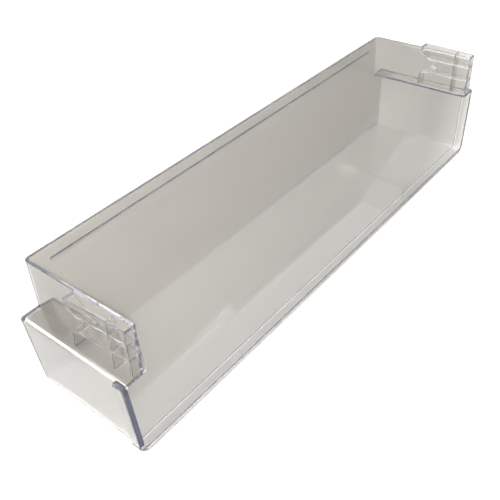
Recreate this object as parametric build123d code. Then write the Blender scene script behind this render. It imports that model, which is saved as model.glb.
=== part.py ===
from build123d import *
import os

# Clear moulded door shelf, standing on its floor as it hangs in use.
# X runs along the shelf, Y from its front wall to the open rear, Z up.
# The origin lies under the middle of the overall box. All sizes are in millimetres.

# Overall sizes
length = 480.0  # over the rim, end to end
depth = 109.5  # front of the rim to the rear edge
height = 104.5

# Walls
wall = 2.5
floor = 2.5
front_lean = 2.2  # how far the front wall leans out over its height

# Wide front part, and the rear part that fits between the ridges of a door
front_depth = 65.2  # foot of the front wall to the rear face of the ledges
ledge = 14.4  # how far the rear part's ends stand in from the wide ends
end_taper = 3.0  # how much further in they stand at the rear edge

# Rim bead along the top of the front wall and of the wide ends
rim_height = 9.2
rim_proud_front = 3.4
rim_proud_ends = 2.0
rim_corner = 9.0  # its rounded front corners, seen from above
rim_nose = 1.6  # rounding of its upper outer edge
rim_foot = 0.8  # rounding of its lower outer edge

# Roundings of the walls
front_corner = 5.0  # upright front corners, outside
ledge_corner = 2.5  # upright edges between the ends and the ledges, outside
foot_round = 2.0  # lower edges of the wide part, outside
inner_round = 1.5  # lower edges of the wide part, inside
rear_foot_round = 4.5  # lower edges of the rear part's ends, outside
lip_round = 0.7  # edges of the walls along the open top and rear

# Low ridge on the floor, along the rear edge
ridge_inset = 10.0  # rear edge of the floor to the middle of the ridge
ridge_gap = 15.5  # ends of the ridge to the inside of the rear part's ends
ridge_width = 1.8
ridge_height = 1.4
ridge_round = 0.6

# Hanging brackets on the outside of the rear part's ends
bracket_drop = 52.4  # top of the shelf down to the foot of the bracket
rib = 1.8  # thickness of the ribs
flange = 2.5  # thickness of the rib along the rear edge
reach_at_foot = 8.8  # how far the ribs stand out from the end, at the foot
reach_at_top = 6.4  # and at the top
slot_width = 11.4  # clear width between the two guide ribs
slot_inset = 11.9  # rear edge to the rear side of the slot
slot_depth = 35.4  # foot of the bracket up to the slot's stop
rear_flare = 5.0  # how far the rear side of the slot opens out at its mouth
front_flare = 2.3  # and the front side
mouth_height = 8.0  # height over which it opens out
rear_bends = (4.5, 9.0)  # bend radii of the rear guide rib, along its middle, from the foot up
front_bends = (2.5, 2.5)  # and of the front guide rib
detent_height = 15.5  # foot of the bracket up to the detent across the slot
detent_rise = 1.1  # radius of the half-round bar of the detent
nub_rise = 1.5  # how far the nub in the middle of the detent stands out
nub_sink = 0.4  # how deep its middle line lies in the end
nub_length = 8.5  # along the slot
edge_bevel = 0.4  # bevel of the ribs' outer edges

# Places worked out from the sizes above
body_half = length / 2 - rim_proud_ends
rear_y = depth / 2
rim_y = -depth / 2
front_y = rim_y + rim_proud_front + front_lean
ledge_y = front_y + front_depth
overlap = 4 * wall  # how far joined solids run into each other
bracket_z = height - bracket_drop


def front_block(inset, low, high, corner, rear_corner, foot):
    """Wide part of the shelf, drawn in by inset, from low to high, with its edges rounded."""
    half = body_half - inset

    def front_at(z):
        return front_y + inset - front_lean * z / height

    side = Polyline(
        (front_at(low), low),
        (ledge_y - inset, low),
        (ledge_y - inset, high),
        (front_at(high), high),
        close=True,
    )
    block = extrude(Plane.YZ * make_face(side), half, both=True)
    middle = (low + high) / 2
    upright = [e for e in block.edges() if abs(e.center().Z - middle) < wall]
    block = fillet([e for e in upright if e.center().Y < front_y + overlap], corner)
    rear = [e for e in block.edges().filter_by(Axis.Z) if e.center().Y > ledge_y - overlap]
    block = fillet(rear, rear_corner)
    return fillet(block.faces().sort_by(Axis.Z)[0].edges(), foot)


def rear_half(y):
    """Half the outside length of the narrow part, which tapers towards the rear."""
    return body_half - ledge - end_taper * (y - ledge_y) / (rear_y - ledge_y)


def rear_block(inset, end_y, low, high, foot):
    """Narrow part of the shelf, drawn in by inset, with the lower edges of its ends rounded."""
    start_y = ledge_y - overlap
    start = rear_half(start_y) - inset
    end = rear_half(end_y) - inset
    plan = Polyline((-start, start_y), (start, start_y), (end, end_y), (-end, end_y), close=True)
    block = extrude(Plane.XY.offset(low) * make_face(plan), high - low)
    ends = [e for e in block.faces().sort_by(Axis.Z)[0].edges() if abs(e.center().X) > overlap]
    return fillet(ends, foot)


def rim_bead():
    """Bead round the top of the wide part, as a plate that the inside is later cut from."""
    plan = Pos(0, (rim_y + ledge_y) / 2) * Rectangle(length, ledge_y - rim_y)
    plan = fillet(plan.vertices().group_by(Axis.Y)[0], rim_corner)
    plan = fillet(plan.vertices().group_by(Axis.Y)[-1], ledge_corner)
    bead = extrude(Plane.XY.offset(height - rim_height) * plan, rim_height)
    bead = fillet(bead.faces().sort_by(Axis.Z)[-1].edges(), rim_nose)
    return fillet(bead.faces().sort_by(Axis.Z)[0].edges(), rim_foot)


def bracket():
    """Ribs of the hanging bracket on the +X end: a slot with a flared mouth, a detent and a stop."""
    slot_rear = rear_y - slot_inset
    slot_front = slot_rear - slot_width
    rear_guide = slot_rear + rib / 2
    front_guide = slot_front - rib / 2
    foot = bracket_z + rib / 2
    stop = bracket_z + slot_depth + rib / 2
    root_y = ledge_y - wall / 2

    def guide(bends, *points):
        return trace(FilletPolyline(*points, radius=bends), rib)

    def crossbar(start_y, z):
        return trace(Line((start_y, z), (rear_y - flange / 2, z)), rib)

    ribs = guide(
        rear_bends,
        (rear_y - flange / 2, foot),
        (rear_guide + rear_flare, foot),
        (rear_guide, foot + mouth_height),
        (rear_guide, height),
    )
    ribs += guide(
        front_bends,
        (root_y, foot),
        (front_guide - front_flare, foot),
        (front_guide, foot + mouth_height),
        (front_guide, height),
    )
    ribs += crossbar(root_y, stop)
    ribs += crossbar(root_y, height - rib / 2)
    ribs += trace(Line((rear_y - flange / 2, bracket_z), (rear_y - flange / 2, height)), flange)

    def envelope(z, reach):
        inner = rear_half(rear_y) - wall / 2
        outer = [(rear_half(y) + reach, y) for y in (root_y, rear_y)]
        plan = Polyline((inner, root_y), *outer, (inner, rear_y), close=True)
        return Plane.XY.offset(z) * make_face(plan)

    body = extrude(Plane.YZ * ribs, length / 2 + reach_at_foot)
    body &= loft([envelope(bracket_z, reach_at_foot), envelope(height, reach_at_top)], ruled=True)
    outer_face = body.faces().sort_by(Axis.X)[-1]
    body = chamfer(outer_face.edges(), edge_bevel)

    detent_z = bracket_z + detent_height
    low_end = Vector(rear_half(front_guide), front_guide, detent_z)
    high_end = Vector(rear_half(rear_guide), rear_guide, detent_z)
    middle = (low_end + high_end) / 2
    across = Plane(origin=middle, z_dir=high_end - low_end)
    body += across * Cylinder(detent_rise, (high_end - low_end).length)

    nub = SlotOverall(nub_length, 2 * (nub_rise + nub_sink), rotation=90)
    nub = revolve(Plane.XZ * split(nub, Plane.YZ), Axis.Z)
    return body + Pos(middle.X - nub_sink, middle.Y, middle.Z) * nub


def floor_ridge():
    """Low ridge with round ends, along the rear edge of the floor."""
    ridge_y = rear_y - ridge_inset
    ridge_length = 2 * (rear_half(ridge_y) - wall - ridge_gap)
    plan = Pos(0, ridge_y) * SlotOverall(ridge_length, ridge_width)
    ridge = extrude(Plane.XY.offset(floor / 2) * plan, floor / 2 + ridge_height)
    return fillet(ridge.faces().sort_by(Axis.Z)[-1].edges(), ridge_round)


def round_lips(tray):
    """Rounds the edges of the walls that border the open rear, and the inner ones that border the open top."""
    rear = tray.edges().group_by(Axis.Y)[-1]
    top = [e for e in tray.edges().group_by(Axis.Z)[-1] if inside.distance_to(e.center()) < lip_round]
    return fillet(rear + [e for e in top if e not in rear], lip_round)


outside = front_block(0, 0, height - rim_height / 2, front_corner, ledge_corner, foot_round)
outside += rear_block(0, rear_y, 0, height, rear_foot_round)
outside += rim_bead()
inside = front_block(wall, floor, height + overlap, front_corner - wall, foot_round, inner_round)
inside += rear_block(wall, rear_y + overlap, floor, height + overlap, rear_foot_round - wall)

end_bracket = bracket()
shelf = round_lips(outside - inside)
shelf += end_bracket
shelf += mirror(end_bracket, Plane.YZ)
shelf += floor_ridge()

os.makedirs("parts", exist_ok=True)
export_step(shelf, "parts/door_shelf.step")
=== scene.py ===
import bpy
from mathutils import Matrix, Vector


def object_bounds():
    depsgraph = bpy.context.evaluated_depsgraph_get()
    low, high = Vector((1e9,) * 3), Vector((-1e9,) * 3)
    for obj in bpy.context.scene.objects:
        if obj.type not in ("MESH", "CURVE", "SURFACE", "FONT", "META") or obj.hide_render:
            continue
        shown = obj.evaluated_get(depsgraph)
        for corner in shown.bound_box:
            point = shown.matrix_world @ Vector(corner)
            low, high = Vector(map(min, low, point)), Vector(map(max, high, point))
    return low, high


# A clear moulded door shelf. It stands upright here, as it hangs in a door, and the camera is rolled
# to the photograph's view, which shows the shelf lying on its front wall, from above its open rear.

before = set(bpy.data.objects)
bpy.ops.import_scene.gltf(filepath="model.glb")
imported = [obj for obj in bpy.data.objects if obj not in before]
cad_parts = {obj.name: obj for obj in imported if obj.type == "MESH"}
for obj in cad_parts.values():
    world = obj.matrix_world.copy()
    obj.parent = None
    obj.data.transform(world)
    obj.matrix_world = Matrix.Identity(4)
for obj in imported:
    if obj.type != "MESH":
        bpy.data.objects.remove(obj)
cad_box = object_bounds()
scene = bpy.context.scene
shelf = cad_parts["door_shelf"]

# The photograph's view, in metres and in the shelf's own axes
PHOTO_SIDE = 500.0  # pixels
FOCAL_PIXELS = 623.2
AXIS_X, AXIS_Y = 262.8, 305.1  # pixel where the view axis meets the photograph
CAMERA_PLACE = Vector((-0.3616, 0.3023, 0.3263))
CAMERA_RIGHT = Vector((0.61897, -0.05103, 0.78376))
CAMERA_UP = Vector((0.56309, 0.72451, -0.39752))
SENSOR = 36.0  # millimetres

# Clear plastic
PLASTIC_TINT = (0.85, 0.825, 0.77, 1)
PLASTIC_IOR = 1.59
PLASTIC_CLEAR = 0.965  # share that is clear; the rest is a slight haze
PLASTIC_ROUGHNESS = (0.015, 0.05)  # least and most, between the flow marks
FLOW_SCALE = 35.0
FLOW_DETAIL = 3.0
ABSORB_COLOUR = (0.30, 0.38, 0.82, 1)  # colour that long ways through the plastic take on
ABSORB_DENSITY = 11.0

# Light is followed far enough to get out of the solid edges
MAX_BOUNCES = 32
GLOSSY_BOUNCES = 24

# Studio, in metres and watts
FLOOR_HALF = 20.0
FLOOR_GAP = 0.0004
FLOOR_WHITE = 0.9
GLOW_IN_PAINTED_SHADE = 0.08  # light added to what is seen of the floor, so that it reads as white; this low value near the shelf is painted shade on the floor seen through the plastic
PAINTED_SHADE_REACH = 0.42  # from the middle of the shelf, where the glow starts to grow and the painted shade starts to fade
PAINTED_SHADE_FADE = 0.8  # and where it is full and the painted shade is gone
GLOW_FULL = 1.0
WORLD_STRENGTH = 0.43
KEY_POWER = 64.0
KEY_BACK = 0.03  # how far the key lamp stands behind the camera
KEY_RADIUS = 0.01
SHELF_MIDDLE = (0, 0, 0.05)
REAR_PLACE = (0.1, 0.9, 0.55)
REAR_SIZE = (0.9, 0.03)
REAR_POWER = 0.7
TOP_PLACE = (-0.1, -0.1, 0.9)
TOP_SIZE = (0.5, 0.02)
TOP_POWER = 0.4


def camera_axes():
    right = CAMERA_RIGHT.normalized()
    back = right.cross(CAMERA_UP).normalized()
    return right, back.cross(right), back


def add_camera():
    data = bpy.data.cameras.new("photo_camera")
    data.sensor_width = SENSOR
    data.lens = SENSOR * FOCAL_PIXELS / PHOTO_SIDE
    data.shift_x = (PHOTO_SIDE / 2 - AXIS_X) / PHOTO_SIDE
    data.shift_y = (AXIS_Y - PHOTO_SIDE / 2) / PHOTO_SIDE
    data.clip_start = 0.01
    camera = bpy.data.objects.new("photo_camera", data)
    axes = Matrix(camera_axes()).transposed()
    camera.matrix_world = Matrix.Translation(CAMERA_PLACE) @ axes.to_4x4()
    scene.collection.objects.link(camera)
    scene.camera = camera


def new_material(name):
    material = bpy.data.materials.new(name)
    material.use_nodes = True
    material.node_tree.nodes.clear()
    return material, material.node_tree.nodes, material.node_tree.links


def clear_plastic():
    """Clear plastic with a slight haze, faint flow marks and a blue tinge along its edges."""
    material, nodes, links = new_material("clear_plastic")
    out = nodes.new("ShaderNodeOutputMaterial")
    shader = nodes.new("ShaderNodeBsdfPrincipled")
    shader.inputs["Base Color"].default_value = PLASTIC_TINT
    shader.inputs["IOR"].default_value = PLASTIC_IOR
    shader.inputs["Transmission Weight"].default_value = PLASTIC_CLEAR

    place = nodes.new("ShaderNodeTexCoord")
    flow = nodes.new("ShaderNodeTexNoise")
    flow.inputs["Scale"].default_value = FLOW_SCALE
    flow.inputs["Detail"].default_value = FLOW_DETAIL
    gloss = nodes.new("ShaderNodeMapRange")
    gloss.inputs["To Min"].default_value = PLASTIC_ROUGHNESS[0]
    gloss.inputs["To Max"].default_value = PLASTIC_ROUGHNESS[1]
    links.new(place.outputs["Object"], flow.inputs["Vector"])
    links.new(flow.outputs["Fac"], gloss.inputs["Value"])
    links.new(gloss.outputs["Result"], shader.inputs["Roughness"])

    absorb = nodes.new("ShaderNodeVolumeAbsorption")
    absorb.inputs["Color"].default_value = ABSORB_COLOUR
    absorb.inputs["Density"].default_value = ABSORB_DENSITY
    links.new(shader.outputs["BSDF"], out.inputs["Surface"])
    links.new(absorb.outputs["Volume"], out.inputs["Volume"])
    return material


def seen_rays(nodes, links):
    """Is 1 for what the camera sees, straight, in a reflection or through the plastic."""
    path = nodes.new("ShaderNodeLightPath")
    direct = nodes.new("ShaderNodeMath")
    direct.operation = "ADD"
    seen = nodes.new("ShaderNodeMath")
    seen.operation = "ADD"
    seen.use_clamp = True
    links.new(path.outputs["Is Camera Ray"], direct.inputs[0])
    links.new(path.outputs["Is Glossy Ray"], direct.inputs[1])
    links.new(direct.outputs[0], seen.inputs[0])
    links.new(path.outputs["Is Transmission Ray"], seen.inputs[1])
    return seen.outputs[0]


def floor_white_with_painted_shade():
    """White floor that keeps the shadow, with a glow that grows away from the shelf. It is painted
    darker around the shelf: painted shade on top of the key lamp's real shadow.
    """
    material, nodes, links = new_material("floor_white_with_painted_shade")
    out = nodes.new("ShaderNodeOutputMaterial")
    matt = nodes.new("ShaderNodeBsdfDiffuse")
    matt.inputs["Color"].default_value = (FLOOR_WHITE, FLOOR_WHITE, FLOOR_WHITE, 1)
    place = nodes.new("ShaderNodeTexCoord")
    away = nodes.new("ShaderNodeVectorMath")
    away.operation = "LENGTH"
    # Painted shade: the floor's glow is kept dim near the shelf and grows with distance from it
    reach = nodes.new("ShaderNodeMapRange")
    reach.inputs["From Min"].default_value = PAINTED_SHADE_REACH
    reach.inputs["From Max"].default_value = PAINTED_SHADE_FADE
    reach.inputs["To Min"].default_value = GLOW_IN_PAINTED_SHADE
    reach.inputs["To Max"].default_value = GLOW_FULL
    strength = nodes.new("ShaderNodeMath")
    strength.operation = "MULTIPLY"
    glow = nodes.new("ShaderNodeEmission")
    both = nodes.new("ShaderNodeAddShader")
    links.new(place.outputs["Object"], away.inputs["Vector"])
    links.new(away.outputs["Value"], reach.inputs["Value"])
    links.new(reach.outputs["Result"], strength.inputs[0])
    links.new(seen_rays(nodes, links), strength.inputs[1])
    links.new(strength.outputs[0], glow.inputs["Strength"])
    links.new(matt.outputs["BSDF"], both.inputs[0])
    links.new(glow.outputs["Emission"], both.inputs[1])
    links.new(both.outputs["Shader"], out.inputs["Surface"])
    return material


def add_floor():
    mesh = bpy.data.meshes.new("floor")
    corners = [(-1, -1), (1, -1), (1, 1), (-1, 1)]
    mesh.from_pydata([(FLOOR_HALF * x, FLOOR_HALF * y, 0) for x, y in corners], [], [(0, 1, 2, 3)])
    mesh.materials.append(floor_white_with_painted_shade())
    floor = bpy.data.objects.new("floor", mesh)
    floor.location.z = cad_box[0].z - FLOOR_GAP
    scene.collection.objects.link(floor)


def add_key():
    """Lamp just behind the camera, even over its whole reach, whose shadow the shelf itself hides."""
    data = bpy.data.lights.new("key", "POINT")
    data.energy = KEY_POWER
    data.shadow_soft_size = KEY_RADIUS
    data.cycles.use_multiple_importance_sampling = False
    data.use_nodes = True
    nodes = data.node_tree.nodes
    falloff = nodes.new("ShaderNodeLightFalloff")
    falloff.inputs["Strength"].default_value = 1.0
    data.node_tree.links.new(falloff.outputs["Constant"], nodes["Emission"].inputs["Strength"])
    lamp = bpy.data.objects.new("key", data)
    lamp.location = CAMERA_PLACE + camera_axes()[2] * KEY_BACK
    scene.collection.objects.link(lamp)


def add_softbox(name, place, size, power):
    """Strip lamp turned to the middle of the shelf."""
    data = bpy.data.lights.new(name, "AREA")
    data.shape = "RECTANGLE"
    data.size, data.size_y = size
    data.energy = power
    lamp = bpy.data.objects.new(name, data)
    lamp.location = place
    lamp.rotation_mode = "QUATERNION"
    lamp.rotation_quaternion = (Vector(SHELF_MIDDLE) - Vector(place)).to_track_quat("-Z", "Y")
    scene.collection.objects.link(lamp)


def add_world():
    world = bpy.data.worlds.new("studio")
    scene.world = world
    world.use_nodes = True
    background = world.node_tree.nodes["Background"]
    background.inputs["Color"].default_value = (1, 1, 1, 1)
    background.inputs["Strength"].default_value = WORLD_STRENGTH


add_camera()
add_floor()
add_world()
add_key()
add_softbox("rear_softbox", REAR_PLACE, REAR_SIZE, REAR_POWER)
add_softbox("top_softbox", TOP_PLACE, TOP_SIZE, TOP_POWER)
shelf.data.materials.clear()
shelf.data.materials.append(clear_plastic())

scene.cycles.max_bounces = MAX_BOUNCES
scene.cycles.glossy_bounces = GLOSSY_BOUNCES
scene.cycles.transmission_bounces = MAX_BOUNCES
scene.view_settings.view_transform = "Standard"
